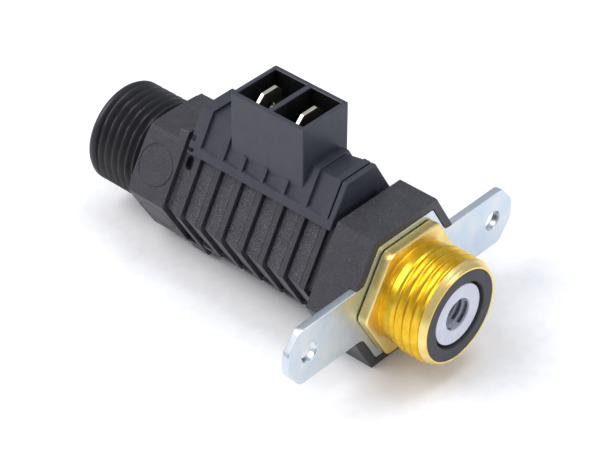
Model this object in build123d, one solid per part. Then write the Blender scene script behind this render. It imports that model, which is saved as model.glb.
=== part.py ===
"""In-line solenoid water valve of a boiler, as an assembly of its separate pieces.

All sizes are in millimetres. The valve's axis is X: water enters the brass fitting at the +X end and
leaves the plastic thread at the -X end. Z points up, towards the electrical connector. The origin is
on the axis, in the front face of the fixing bracket.
"""

import os
from math import cos, radians, sin

from build123d import *

# Both ports: a G 1/2 parallel pipe thread, modelled as a cylinder at its major diameter
THREAD_D = 20.955

# Fixing bracket, a flat steel plate with two ears
BRACKET_T = 1.6
BRACKET_AF = 25.4
EAR_W = 12.2
EAR_TIP_W = 4.0
EAR_TIP_L = 3.2
EAR_REACH = 30.9
EAR_HOLE_D = 4.0
EAR_HOLE_SPACING = 50.6
EAR_ROOT_R = 1.2
EAR_CORNER_R = 0.9

# Brass inlet fitting
FITTING_AF = 22.8
FITTING_HEX_L = 2.2
INLET_THREAD_L = 10.7
INLET_BORE_D = 12.2
SHANK_WALL = 2.4
THREAD_CHAMFER = 1.0
FLANGE_CHAMFER = 0.5

# End gasket and slotted strainer inside the fitting
GASKET_W = 2.4
GASKET_BORE_MARGIN = 0.6
GASKET_T = 2.2
STRAINER_RECESS = 0.5
STRAINER_FLANGE_T = 0.6
STRAINER_SKIRT_L = 3.6
STRAINER_SKIRT_WALL = 0.7
STRAINER_MOUTH_D = 6.4
STRAINER_BASKET_WALL = 0.9
STRAINER_BASKET_L = 8.6
STRAINER_FLOOR_T = 1.0
STRAINER_SLOT_W = 0.75
STRAINER_SLOT_PITCH = 1.3
STRAINER_SLOT_ROWS = 5
STRAINER_BARS = 3
STRAINER_BAR_W = 2.1
STRAINER_BAR_TURN = 33

# Plastic inlet collar that holds bracket and fitting
COLLAR_WALL = 1.8
COLLAR_L = 8.85
COLLAR_SEAL_WALL = 0.95

# Ribbed coil shell and the hexagon of the outlet body
HEX_AF = 23.4
SHELL_L = 38.85
SHELL_END_WALL = 1.5
SHELL_GROOVE = 0.9
SHELL_INLET_WALL = 0.85
PANEL_DEPTH = 1.0
PANEL_STEP = 0.15
FIN_COUNT = 7
FIN_PITCH = 5.17
FIN_T = 1.3
FIN_INLET_GAP = 3.25
FIN_BOTTOM_RISE = 2.1
SHELL_TOP_RISE = 0.7
COIL_MARGIN = 0.2
LEAD_MARGIN = 0.3
VENT_W = 2.1
VENT_L = 2.8
VENT_FROM_END = 2.2
VENT_HEIGHT = 8.9

# Outlet body
OUTLET_HEX_L = 9.4
OUTLET_THREAD_L = 13.6
OUTLET_CHAMFER = 0.9
OUTLET_BORE_D = 13.5
OUTLET_BORE_L = 15.0
SPIGOT_WALL = 1.45
SPIGOT_L = 3.5
SEAT_BORE_D = 4.5
SEAT_LIP_D = 6.6
SEAT_LIP_H = 4.4

# Guide tube and its seals
TUBE_D = 11.0
TUBE_WALL = 0.5
TUBE_FLANGE_GAP = 0.5
TUBE_FLANGE_T = 0.6
TUBE_SOCKET_L = 5.8
O_RING_CORD = 1.5
O_RING_POCKET_L = 2.0
SHANK_GROOVE_W = 2.0

# Magnet: fixed core, plunger, coil and yoke
CORE_BORE_D = 4.4
CORE_SETBACK = 1.7
STROKE = 2.4
CORE_AIR_GAP = 0.1
PLUNGER_L = 18.2
PLUNGER_GROOVE_W = 2.2
PLUNGER_GROOVE_DEPTH = 1.0
PLUNGER_GROOVES = 4
CROSS_HOLE_D = 2.2
SEAL_D = 7.2
SEAL_T = 2.4
SEAL_PROUD = 0.38
SPRING_POCKET_D = 6.2
PLUNGER_POCKET_L = 6.0
CORE_POCKET_L = 4.0
SPRING_WIRE_D = 0.5
SPRING_TURNS = 7
SHADING_RING_D = 9.0
SHADING_RING_BORE_D = 7.4
SHADING_RING_T = 1.2
BOBBIN_WALL = 0.75
BOBBIN_FLANGE_MARGIN = 0.4
BOBBIN_FLANGE_T = 1.0
WINDING_BUILD = 1.9
TAPE_T = 0.2
YOKE_T = 1.5
YOKE_STRAP_W = 6.8

# Connector cover with its two-chamber socket
COVER_END_GAP = 1.7
COVER_INLET_GAP = 1.7
COVER_OUTSET = 1.3
COVER_RECESS = 0.7
COVER_H = 8.1
COVER_WALL = 1.2
COVER_SKIRT_DROP = 0.3
COVER_BAND_H = 1.5
SOCKET_L = 17.6
SOCKET_W = 12.04
SOCKET_DEPTH = 9.4
SOCKET_FLOOR_DROP = 1.3
SOCKET_WALL = 1.0
SOCKET_INLET_OFFSET = 19.2
DIVIDER_T = 1.25
DIVIDER_OFFSET = 0.2
END_RIB_L = 2.8
RIB_T = 1.45
SHORT_RIB_T = 0.9
SHORT_RIB_H = 2.5
RIB_GROOVE = 0.35
SOCKET_RIB_GAP = 0.7

# Terminal tabs, 6.3 x 0.8
TAB_W = 6.3
TAB_T = 0.8
TAB_TIP_DROP = 0.6
TAB_CHAMFER = 1.4
TAB_HOLE_D = 1.8
TAB_HOLE_DROP = 3.4
TAB_SHOULDER_W = 7.6
TAB_SHOULDER_H = 1.2
TAB_LEG_W = 1.7
TAB_LEG_SIDE = 3.9
TAB_LEG_GAP = 0.5
TAB_SHIFTS = (-0.75, 0.4)
LEAD_D = 0.5

# Clearances
FIT = 0.05
RUNNING = 0.075
SEAT_GAP = 0.02
PART_GAP = 0.1

# Sizes that follow from those above
COLLAR_AF = BRACKET_AF + 2 * COLLAR_WALL
SHANK_D = INLET_BORE_D + 2 * SHANK_WALL
TUBE_FLANGE_D = SHANK_D - 2 * TUBE_FLANGE_GAP
GASKET_BORE_D = INLET_BORE_D + 2 * GASKET_BORE_MARGIN
GASKET_D = GASKET_BORE_D + 2 * GASKET_W
TUBE_R = TUBE_D / 2
TUBE_BORE_R = TUBE_R - TUBE_WALL
SEAL_POCKET_D = TUBE_D + 2 * O_RING_CORD
SPIGOT_D = SEAL_POCKET_D + 2 * SPIGOT_WALL
WINDING_R = TUBE_R + FIT + BOBBIN_WALL + WINDING_BUILD
TAPE_R = WINDING_R + TAPE_T
BOBBIN_FLANGE_D = 2 * (TAPE_R + BOBBIN_FLANGE_MARGIN)
COIL_ROOM_R = BOBBIN_FLANGE_D / 2 + COIL_MARGIN
YOKE_TOP = BOBBIN_FLANGE_D / 2 + YOKE_T + PART_GAP
LEAD_ROOM_W = 2 * (TAB_LEG_SIDE + LEAD_D + LEAD_MARGIN)

# Heights above the axis
SHELL_TOP = HEX_AF / 2 + SHELL_TOP_RISE
FIN_BOTTOM = FIN_BOTTOM_RISE - HEX_AF / 2
COVER_DISTANCE = HEX_AF / 2 + COVER_OUTSET
COVER_SKIRT_BOTTOM = HEX_AF / 2 - COVER_SKIRT_DROP
COVER_BAND_TOP = COVER_SKIRT_BOTTOM + COVER_BAND_H
COVER_TOP = COVER_SKIRT_BOTTOM + COVER_H
SHORT_RIB_TOP = COVER_BAND_TOP + SHORT_RIB_H
SOCKET_FLOOR = COVER_TOP - SOCKET_FLOOR_DROP
SOCKET_TOP = SOCKET_FLOOR + SOCKET_DEPTH
TAB_TOP = SOCKET_TOP - TAB_TIP_DROP

# Stations on the axis
COLLAR_END = -COLLAR_L
SHELL_END = COLLAR_END - SHELL_L
OUTLET_SHOULDER = SHELL_END - OUTLET_HEX_L
OUTLET_END = OUTLET_SHOULDER - OUTLET_THREAD_L
INLET_END = FITTING_HEX_L + INLET_THREAD_L
SPIGOT_END = SHELL_END + SPIGOT_L
SHANK_L = COLLAR_L - COLLAR_SEAL_WALL - O_RING_POCKET_L - TUBE_FLANGE_T
SHANK_GROOVE_X = -(SHANK_L + BRACKET_T) / 2
YOKE_OUTLET_END = SPIGOT_END
YOKE_INLET_END = COLLAR_END - SHELL_INLET_WALL
TUBE_OUTLET_END = SPIGOT_END - TUBE_SOCKET_L
TUBE_INLET_END = -SHANK_L
SEAT_FACE = TUBE_OUTLET_END + SEAT_LIP_H
SEAL_FACE = SEAT_FACE + SEAT_GAP
PLUNGER_OUTLET_END = SEAL_FACE + SEAL_PROUD
PLUNGER_INLET_END = PLUNGER_OUTLET_END + PLUNGER_L
CORE_FACE = PLUNGER_INLET_END + STROKE + CORE_AIR_GAP
CORE_INLET_END = TUBE_INLET_END - CORE_SETBACK
COVER_OUTLET_END = SHELL_END + COVER_END_GAP
COVER_INLET_END = COLLAR_END - COVER_INLET_GAP
SOCKET_INLET_END = -SOCKET_INLET_OFFSET
SOCKET_OUTLET_END = SOCKET_INLET_END - SOCKET_L
DIVIDER_X = (SOCKET_INLET_END + SOCKET_OUTLET_END) / 2 + DIVIDER_OFFSET
STRAINER_FRONT = INLET_END - STRAINER_RECESS

# Directions of the upper sloping faces of the hexagons
SLOPE_COS = cos(radians(30))
SLOPE_SIN = sin(radians(30))

BODY_AXIS = Plane.YZ


def along_x(profile, start, end):
    """A flat profile drawn in Y and Z, carried along the axis from start to end."""
    return extrude(BODY_AXIS.offset(start) * profile, amount=end - start)


def rod(diameter, start, end):
    """A round bar on the axis."""
    return along_x(Circle(diameter / 2), start, end)


def tube(outer, inner, start, end):
    """A round tube on the axis, given its two diameters."""
    return rod(outer, start, end) - rod(inner, start, end)


def hexagon(across_flats):
    """A hexagon in Y and Z with flats above and below and corners to either side."""
    return RegularPolygon(across_flats / 2, 6, major_radius=False)


def box_between(x, y, z):
    """A box from its low and high limits along each direction."""
    size = (x[1] - x[0], y[1] - y[0], z[1] - z[0])
    middle = ((x[0] + x[1]) / 2, (y[0] + y[1]) / 2, (z[0] + z[1]) / 2)
    return Pos(*middle) * Box(*size)


def o_ring(x, bore, cord=O_RING_CORD):
    """A round-section seal ring on the axis, given its inside diameter."""
    section = Plane.XY * Pos(x, bore / 2 + cord / 2) * Circle(cord / 2)
    return revolve(section, axis=Axis.X)


def half_width(distance, height):
    """Half width, at a height, between the sloping faces that lie at a distance from the axis."""
    return (distance - SLOPE_SIN * abs(height)) / SLOPE_COS


def trough(distance, bottom, top):
    """Hexagon-like section: four sloping faces at a distance from the axis, cut flat below and above."""
    right = [(half_width(distance, z), z) for z in (bottom, 0, top) if bottom <= z <= top]
    left = [(-y, z) for y, z in reversed(right)]
    return make_face(Polyline(*right, *left, close=True))


def roof(distance, bottom, top):
    """The upper part of such a section, from one height to another, both above the axis."""
    low = half_width(distance, bottom)
    high = half_width(distance, top)
    return make_face(Polyline((-low, bottom), (low, bottom), (high, top), (-high, top), close=True))


# --- outlet side -----------------------------------------------------------------------------------

def outlet_body():
    """Moulded outlet: thread, hexagon, spigot for the shell, and the valve seat on its nozzle."""
    thread = rod(THREAD_D, OUTLET_END, OUTLET_SHOULDER)
    thread = chamfer(thread.edges().sort_by(Axis.X)[0], OUTLET_CHAMFER)
    body = thread + along_x(hexagon(HEX_AF), OUTLET_SHOULDER, SHELL_END)
    body += rod(SPIGOT_D, SHELL_END, SPIGOT_END)
    body -= rod(OUTLET_BORE_D, OUTLET_END, OUTLET_END + OUTLET_BORE_L)
    body -= rod(TUBE_D, TUBE_OUTLET_END, SPIGOT_END)
    body -= rod(SEAL_POCKET_D, SPIGOT_END - O_RING_POCKET_L, SPIGOT_END)
    body += rod(SEAT_LIP_D, TUBE_OUTLET_END, SEAT_FACE)
    body -= rod(SEAT_BORE_D, OUTLET_END + OUTLET_BORE_L, SEAT_FACE)
    return body


def outlet_o_ring():
    """Seal between the guide tube and the outlet body."""
    return o_ring(SPIGOT_END - O_RING_POCKET_L / 2, TUBE_D)


# --- coil shell ------------------------------------------------------------------------------------

def fin_edge(index):
    """Station of the inlet-side edge of one fin, counted from the inlet end."""
    return COLLAR_END - FIN_INLET_GAP - index * FIN_PITCH


def louvre(index):
    """One bay of the shell: a panel that rises towards its fin, and the fin."""
    edge = fin_edge(index)
    last = index == FIN_COUNT - 1
    start = SHELL_END + SHELL_GROOVE if last else edge - FIN_PITCH
    bottom = -HEX_AF / 2 + PANEL_DEPTH if last else FIN_BOTTOM
    low = trough(HEX_AF / 2 - PANEL_DEPTH, bottom, SHELL_TOP)
    high = trough(HEX_AF / 2 - PANEL_STEP, bottom, SHELL_TOP)
    panel = loft([BODY_AXIS.offset(start) * low, BODY_AXIS.offset(edge - FIN_T) * high])
    fin_bottom = -HEX_AF / 2 if last else FIN_BOTTOM
    return panel + along_x(trough(HEX_AF / 2, fin_bottom, SHELL_TOP), edge - FIN_T, edge)


def vent_slot():
    """Cutter for the small oblong vent in the sloping panel next to the outlet."""
    side = half_width(HEX_AF / 2, VENT_HEIGHT)
    facing = Plane(origin=(SHELL_END + VENT_FROM_END, -side, VENT_HEIGHT), x_dir=(1, 0, 0),
                   z_dir=(0, -SLOPE_COS, SLOPE_SIN))
    slot = facing * SlotOverall(VENT_L, VENT_W, rotation=90)
    return extrude(slot, amount=PANEL_DEPTH + VENT_W, both=True)


def coil_shell():
    """Ribbed half shell under the coil: a hexagonal trough, open at the top, with a wall at each end."""
    base = HEX_AF / 2 - PANEL_DEPTH
    shell = along_x(trough(base, -base, base), SHELL_END, COLLAR_END)
    shell += along_x(trough(base, -base, SHELL_TOP), COVER_OUTLET_END, COVER_INLET_END)
    for index in range(FIN_COUNT):
        shell += louvre(index)
    room = (SHELL_END + SHELL_END_WALL, YOKE_INLET_END)
    shell -= rod(2 * COIL_ROOM_R, *room)
    shell -= box_between(room, (-LEAD_ROOM_W / 2, LEAD_ROOM_W / 2), (0, 2 * SHELL_TOP))
    shell -= rod(SPIGOT_D + 2 * FIT, SHELL_END, room[0])
    shell -= rod(TUBE_D + 2 * FIT, room[1], COLLAR_END)
    return shell - vent_slot()


# --- connector cover -------------------------------------------------------------------------------

def cover_roof(distance, top, start, end):
    """A stretch of the cover's roof section."""
    return along_x(roof(distance, COVER_SKIRT_BOTTOM, top), start, end)


def cover_ribs():
    """Full-height ribs over the roof, short ribs under the socket, and the band along the lower edge."""
    full = COVER_DISTANCE
    ribs = cover_roof(full, COVER_TOP, COVER_OUTLET_END, COVER_OUTLET_END + END_RIB_L)
    beside = (SOCKET_OUTLET_END - SOCKET_RIB_GAP - RIB_T, SOCKET_INLET_END + SOCKET_RIB_GAP)
    paired = (COVER_INLET_END - 2 * RIB_T - RIB_GROOVE, COVER_INLET_END - RIB_T)
    for start in beside + paired:
        ribs += cover_roof(full, COVER_TOP, start, start + RIB_T)
    for index in range(2, FIN_COUNT - 1):
        edge = fin_edge(index)
        ribs += cover_roof(full, SHORT_RIB_TOP, edge - SHORT_RIB_T, edge)
    ribs += along_x(roof(full, COVER_SKIRT_BOTTOM, COVER_BAND_TOP), COVER_OUTLET_END, COVER_INLET_END)
    return ribs


def socket_block():
    """The rectangular terminal housing that stands on the roof."""
    return box_between((SOCKET_OUTLET_END, SOCKET_INLET_END), (-SOCKET_W / 2, SOCKET_W / 2),
                       (COVER_BAND_TOP, SOCKET_TOP))


def chambers():
    """X limits of the two chambers of the socket."""
    return ((SOCKET_OUTLET_END + SOCKET_WALL, DIVIDER_X - DIVIDER_T / 2),
            (DIVIDER_X + DIVIDER_T / 2, SOCKET_INLET_END - SOCKET_WALL))


def tab_x(index):
    """Station of one terminal tab."""
    low, high = chambers()[index]
    return (low + high) / 2 + TAB_SHIFTS[index]


def connector_cover():
    """Cover that clips over the coil and carries the two-chamber terminal socket."""
    recess = COVER_DISTANCE - COVER_RECESS
    cover = cover_roof(recess, COVER_TOP - COVER_RECESS, COVER_OUTLET_END, COVER_INLET_END)
    cover += cover_ribs() + socket_block()
    inside = (COVER_OUTLET_END + COVER_WALL, COVER_INLET_END - COVER_WALL)
    room_top = SOCKET_FLOOR - COVER_WALL
    cover -= along_x(roof(recess - COVER_WALL, COVER_SKIRT_BOTTOM, room_top), *inside)
    under = (SOCKET_OUTLET_END + SOCKET_WALL, SOCKET_INLET_END - SOCKET_WALL)
    cover -= box_between(under, (-LEAD_ROOM_W / 2, LEAD_ROOM_W / 2), (COVER_SKIRT_BOTTOM, room_top))
    skirt = roof(HEX_AF / 2 + PART_GAP, COVER_SKIRT_BOTTOM, SHELL_TOP + PART_GAP)
    cover -= along_x(skirt, SHELL_END, COLLAR_END)
    half = SOCKET_W / 2 - SOCKET_WALL
    for index, limits in enumerate(chambers()):
        cover -= box_between(limits, (-half, half), (SOCKET_FLOOR, SOCKET_TOP))
        x = (tab_x(index) - TAB_T / 2, tab_x(index) + TAB_T / 2)
        cover -= box_between(x, (-TAB_W / 2, TAB_W / 2), (room_top, SOCKET_FLOOR))
    return cover


def terminal_tab(index):
    """Flat 6.3 x 0.8 tab, chamfered at its tip, with a shoulder under the socket floor and a leg."""
    room_top = SOCKET_FLOOR - COVER_WALL
    half = TAB_W / 2
    leg = TAB_LEG_SIDE - TAB_LEG_W
    leg_end = YOKE_TOP + TAB_LEG_GAP
    shoulder = room_top - TAB_SHOULDER_H
    outline = Polyline((-half, room_top), (-half, TAB_TOP - TAB_CHAMFER), (-half + TAB_CHAMFER, TAB_TOP),
                       (half - TAB_CHAMFER, TAB_TOP), (half, TAB_TOP - TAB_CHAMFER), (half, room_top),
                       (TAB_SHOULDER_W / 2, room_top), (TAB_SHOULDER_W / 2, shoulder),
                       (TAB_LEG_SIDE, shoulder), (TAB_LEG_SIDE, leg_end), (leg, leg_end), (leg, shoulder),
                       (-TAB_SHOULDER_W / 2, shoulder), (-TAB_SHOULDER_W / 2, room_top), close=True)
    blade = make_face(outline) - Pos(0, TAB_TOP - TAB_HOLE_DROP) * Circle(TAB_HOLE_D / 2)
    return along_x(blade, tab_x(index) - TAB_T / 2, tab_x(index) + TAB_T / 2)


def coil_leads():
    """The two ends of the winding, run up to the legs of the tabs."""
    leads = []
    top = SOCKET_FLOOR - COVER_WALL - TAB_SHOULDER_H
    for index in range(2):
        lead = Pos(tab_x(index), TAB_LEG_SIDE + LEAD_D / 2, 0) * Cylinder(
            LEAD_D / 2, top, align=(Align.CENTER, Align.CENTER, Align.MIN))
        leads.append(lead - rod(2 * TAPE_R, SHELL_END, COLLAR_END))
    return Compound(children=[part.solid() for part in leads])


# --- magnet ----------------------------------------------------------------------------------------

def coil_room():
    """Stations between the two plates of the yoke."""
    return YOKE_OUTLET_END + YOKE_T, YOKE_INLET_END - YOKE_T


def yoke_frame():
    """Steel strap folded over the coil, with a round plate at each end around the guide tube."""
    start, end = YOKE_OUTLET_END, YOKE_INLET_END
    upright = Pos(0, YOKE_TOP / 2) * Rectangle(YOKE_STRAP_W, YOKE_TOP)
    plate = Circle(BOBBIN_FLANGE_D / 2) + upright
    yoke = along_x(plate, start, start + YOKE_T) + along_x(plate, end - YOKE_T, end)
    half = YOKE_STRAP_W / 2
    yoke += box_between((start, end), (-half, half), (YOKE_TOP - YOKE_T, YOKE_TOP))
    return yoke - rod(TUBE_D + 2 * FIT, start, end)


def bobbin():
    """Moulded spool that the winding sits on."""
    start, end = coil_room()
    spool = rod(TUBE_D + 2 * FIT + 2 * BOBBIN_WALL, start, end)
    spool += rod(BOBBIN_FLANGE_D, start, start + BOBBIN_FLANGE_T)
    spool += rod(BOBBIN_FLANGE_D, end - BOBBIN_FLANGE_T, end)
    return spool - rod(TUBE_D + 2 * FIT, start, end)


def winding():
    """Copper winding, as the solid sleeve that its turns fill."""
    start, end = coil_room()
    bore = TUBE_D + 2 * FIT + 2 * BOBBIN_WALL
    return tube(2 * WINDING_R, bore, start + BOBBIN_FLANGE_T, end - BOBBIN_FLANGE_T)


def winding_tape():
    """Insulating tape around the winding."""
    start, end = coil_room()
    return tube(2 * TAPE_R, 2 * WINDING_R, start + BOBBIN_FLANGE_T, end - BOBBIN_FLANGE_T)


def guide_tube():
    """Thin stainless tube that the plunger slides in, flanged at its inlet end."""
    sleeve = rod(TUBE_D, TUBE_OUTLET_END, TUBE_INLET_END)
    sleeve += rod(TUBE_FLANGE_D, TUBE_INLET_END - TUBE_FLANGE_T, TUBE_INLET_END)
    return sleeve - rod(2 * TUBE_BORE_R, TUBE_OUTLET_END, TUBE_INLET_END)


def fixed_core():
    """Hollow pole piece pressed into the tube, with a spring pocket and a groove for the shading ring."""
    core = rod(2 * TUBE_BORE_R, CORE_FACE, CORE_INLET_END)
    core -= rod(CORE_BORE_D, CORE_FACE, CORE_INLET_END)
    core -= rod(SPRING_POCKET_D, CORE_FACE, CORE_FACE + CORE_POCKET_L)
    return core - shading_ring()


def shading_ring():
    """Copper ring in the pole face that stops alternating current from making the plunger buzz."""
    return tube(SHADING_RING_D, SHADING_RING_BORE_D, CORE_FACE, CORE_FACE + SHADING_RING_T)


def plunger():
    """Sliding steel plunger with flow grooves, a seal pocket and a spring pocket with cross holes."""
    radius = TUBE_BORE_R - RUNNING
    start, end = PLUNGER_OUTLET_END, PLUNGER_INLET_END
    body = rod(2 * radius, start, end)
    groove = Box(end - start, 2 * PLUNGER_GROOVE_DEPTH, PLUNGER_GROOVE_W)
    groove = Pos((start + end) / 2, radius, 0) * groove
    for index in range(PLUNGER_GROOVES):
        body -= Rot(index * 360 / PLUNGER_GROOVES, 0, 0) * groove
    body -= rod(SEAL_D, start, start + SEAL_T - SEAL_PROUD)
    body -= rod(SPRING_POCKET_D, end - PLUNGER_POCKET_L, end)
    cross = Pos(end - PLUNGER_POCKET_L / 2, 0, 0) * Cylinder(CROSS_HOLE_D / 2, 3 * radius)
    body -= cross
    return body - Rot(90, 0, 0) * cross


def plunger_seal():
    """Rubber disc in the plunger that closes the seat."""
    return rod(SEAL_D, SEAL_FACE, SEAL_FACE + SEAL_T)


def return_spring():
    """Wire spring between the plunger and the fixed core."""
    start = PLUNGER_INLET_END - PLUNGER_POCKET_L + SPRING_WIRE_D / 2 + SEAT_GAP
    end = CORE_FACE + CORE_POCKET_L - SPRING_WIRE_D / 2 - SEAT_GAP
    radius = SPRING_POCKET_D / 2 - SPRING_WIRE_D / 2 - PART_GAP
    length = end - start
    path = Helix(length / SPRING_TURNS, length, radius, center=(start, 0, 0), direction=(1, 0, 0))
    section = Plane(origin=path @ 0, z_dir=path % 0) * Circle(SPRING_WIRE_D / 2)
    return sweep(section, path=path, is_frenet=True)


# --- inlet side ------------------------------------------------------------------------------------

def inlet_collar():
    """Moulded hexagonal collar with a pocket for the bracket, slots for its ears and the fitting's bore."""
    floor = -BRACKET_T - FIT
    collar = along_x(hexagon(COLLAR_AF), COLLAR_END, 0)
    collar -= along_x(offset(bracket_outline(), PART_GAP), floor, 0)
    seal_room = COLLAR_END + COLLAR_SEAL_WALL
    collar -= rod(TUBE_D + 2 * FIT, COLLAR_END, seal_room)
    collar -= rod(SEAL_POCKET_D, seal_room, seal_room + O_RING_POCKET_L)
    return collar - rod(SHANK_D + 2 * FIT, seal_room + O_RING_POCKET_L, floor)


def inlet_o_ring():
    """Seal around the guide tube, squeezed behind its flange."""
    return o_ring(COLLAR_END + COLLAR_SEAL_WALL + O_RING_POCKET_L / 2, TUBE_D)


def bracket_outline():
    """Outline of the bracket in Y and Z: a hexagon with two ears that have cut, rounded tips."""
    half = EAR_W / 2
    tip = EAR_TIP_W / 2
    shoulder = EAR_REACH - EAR_TIP_L
    ears = make_face(Polyline((shoulder, half), (EAR_REACH, tip), (EAR_REACH, -tip), (shoulder, -half),
                              (-shoulder, -half), (-EAR_REACH, -tip), (-EAR_REACH, tip), (-shoulder, half),
                              close=True))
    outline = fillet(ears.vertices(), EAR_CORNER_R) + hexagon(BRACKET_AF)
    root_y = half_width(BRACKET_AF / 2, half)
    corners = outline.vertices()
    roots = [v for v in corners if abs(abs(v.X) - root_y) < FIT and abs(abs(v.Y) - half) < FIT]
    return fillet(roots, EAR_ROOT_R)


def bracket_plate():
    """Flat steel bracket with a hole for the brass shank and a fixing hole in each ear."""
    outline = bracket_outline() - Circle(SHANK_D / 2 + PART_GAP)
    for side in (-1, 1):
        outline -= Pos(side * EAR_HOLE_SPACING / 2, 0) * Circle(EAR_HOLE_D / 2)
    return along_x(outline, -BRACKET_T, 0)


def inlet_fitting():
    """Brass inlet: thread, hexagon flange over the bracket, and shank with a seal groove."""
    thread = rod(THREAD_D, FITTING_HEX_L, INLET_END)
    thread = chamfer(thread.edges().sort_by(Axis.X)[-1], THREAD_CHAMFER)
    corner = rod(FITTING_AF / SLOPE_COS - FLANGE_CHAMFER, 0, FITTING_HEX_L)
    fitting = (along_x(hexagon(FITTING_AF), 0, FITTING_HEX_L) & corner) + thread
    fitting += rod(SHANK_D, -SHANK_L, 0)
    fitting -= rod(INLET_BORE_D, -SHANK_L, INLET_END)
    fitting -= rod(GASKET_D, INLET_END - GASKET_T, INLET_END)
    low = SHANK_GROOVE_X - SHANK_GROOVE_W / 2
    return fitting - tube(2 * SHANK_D, SHANK_D - 2 * O_RING_CORD, low, low + SHANK_GROOVE_W)


def fitting_o_ring():
    """Seal in the groove of the brass shank."""
    cord = O_RING_CORD
    return o_ring(SHANK_GROOVE_X, SHANK_D - 2 * cord, cord)


def end_gasket():
    """Flat rubber gasket set in the end of the fitting."""
    return tube(GASKET_D, GASKET_BORE_D, INLET_END - GASKET_T, INLET_END)


def inlet_strainer():
    """White plastic strainer: a flanged cup in the fitting's bore, with a closed basket of slotted rings."""
    back = STRAINER_FRONT - STRAINER_FLANGE_T
    end = back - STRAINER_BASKET_L
    basket_d = STRAINER_MOUTH_D + 2 * STRAINER_BASKET_WALL
    strainer = rod(INLET_BORE_D, back, STRAINER_FRONT) + rod(basket_d, end, back)
    strainer += tube(INLET_BORE_D, INLET_BORE_D - 2 * STRAINER_SKIRT_WALL, back - STRAINER_SKIRT_L, back)
    strainer -= rod(STRAINER_MOUTH_D, end + STRAINER_FLOOR_T, STRAINER_FRONT)
    for row in range(STRAINER_SLOT_ROWS):
        high = back - row * STRAINER_SLOT_PITCH
        strainer -= strainer_slots(high - STRAINER_SLOT_W, high)
    return strainer


def strainer_slots(start, end):
    """One row of slots through the basket wall, interrupted by the bars that run along the basket."""
    slots = tube(STRAINER_MOUTH_D + 2 * STRAINER_BASKET_WALL + FIT, STRAINER_MOUTH_D - FIT, start, end)
    reach = STRAINER_MOUTH_D
    for index in range(STRAINER_BARS):
        bar = box_between((start, end), (0, reach), (-STRAINER_BAR_W / 2, STRAINER_BAR_W / 2))
        slots -= Rot(STRAINER_BAR_TURN + index * 360 / STRAINER_BARS, 0, 0) * bar
    return slots


# --- the assembly ----------------------------------------------------------------------------------

PIECES = {
    "outlet_body": outlet_body,
    "outlet_o_ring": outlet_o_ring,
    "coil_shell": coil_shell,
    "connector_cover": connector_cover,
    "terminal_tab_outlet_side": lambda: terminal_tab(0),
    "terminal_tab_inlet_side": lambda: terminal_tab(1),
    "coil_leads": coil_leads,
    "yoke_frame": yoke_frame,
    "bobbin": bobbin,
    "winding": winding,
    "winding_tape": winding_tape,
    "guide_tube": guide_tube,
    "fixed_core": fixed_core,
    "shading_ring": shading_ring,
    "plunger": plunger,
    "plunger_seal": plunger_seal,
    "return_spring": return_spring,
    "inlet_collar": inlet_collar,
    "inlet_o_ring": inlet_o_ring,
    "bracket_plate": bracket_plate,
    "inlet_fitting": inlet_fitting,
    "fitting_o_ring": fitting_o_ring,
    "end_gasket": end_gasket,
    "inlet_strainer": inlet_strainer,
}

os.makedirs("parts", exist_ok=True)
for name, build in PIECES.items():
    export_step(build(), f"parts/{name}.step")
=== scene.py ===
# %% [markdown]
# # An in-line solenoid water valve
#
# Water comes in at the yellow brass end, passes a white strainer and a steel guide tube, and leaves
# through the black plastic thread. A coil in the ribbed middle lifts a small plunger off its seat.
# The CAD model already holds every place and size. This notebook gives each piece its final surface
# and finish, and puts the valve on a pale table under soft light.
#
# Lengths are worked out in millimetres and turned to metres only when they enter a mesh. The valve's
# own axis is X, and +Z points to the electrical socket.

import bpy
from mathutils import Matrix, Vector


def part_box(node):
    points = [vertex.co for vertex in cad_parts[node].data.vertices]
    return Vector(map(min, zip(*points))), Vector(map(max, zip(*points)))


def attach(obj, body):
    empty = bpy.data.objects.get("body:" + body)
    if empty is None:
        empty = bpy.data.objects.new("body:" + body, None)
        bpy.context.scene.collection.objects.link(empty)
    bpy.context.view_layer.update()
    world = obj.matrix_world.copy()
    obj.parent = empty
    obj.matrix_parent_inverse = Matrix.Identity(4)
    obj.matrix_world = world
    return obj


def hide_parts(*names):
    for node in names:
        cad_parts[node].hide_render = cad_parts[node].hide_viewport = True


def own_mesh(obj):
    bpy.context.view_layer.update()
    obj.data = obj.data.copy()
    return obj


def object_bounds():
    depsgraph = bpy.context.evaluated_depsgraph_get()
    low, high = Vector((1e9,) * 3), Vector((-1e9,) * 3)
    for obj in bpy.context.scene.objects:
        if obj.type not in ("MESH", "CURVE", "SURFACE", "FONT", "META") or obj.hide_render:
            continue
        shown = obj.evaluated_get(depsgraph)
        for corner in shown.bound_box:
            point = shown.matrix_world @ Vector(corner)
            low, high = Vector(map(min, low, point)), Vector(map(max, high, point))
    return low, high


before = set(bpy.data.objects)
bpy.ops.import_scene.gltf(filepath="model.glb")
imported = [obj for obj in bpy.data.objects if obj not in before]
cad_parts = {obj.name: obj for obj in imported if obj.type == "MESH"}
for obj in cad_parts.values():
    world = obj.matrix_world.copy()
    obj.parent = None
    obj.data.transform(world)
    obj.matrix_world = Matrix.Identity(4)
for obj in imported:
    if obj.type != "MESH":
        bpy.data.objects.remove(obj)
cad_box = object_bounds()

# %% Tools from Blender, Python and numpy
import math

import bmesh
import bpy
import numpy as np
from mathutils import Matrix, Vector

MM = 0.001


def span(node):
    """Lowest and highest corner of a CAD node, in millimetres."""
    low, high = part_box(node)
    return np.array(low) / MM, np.array(high) / MM


valve_low, valve_high = (np.array(corner) / MM for corner in cad_box)
print("valve, mm:", np.round(valve_low, 2), np.round(valve_high, 2))

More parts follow.
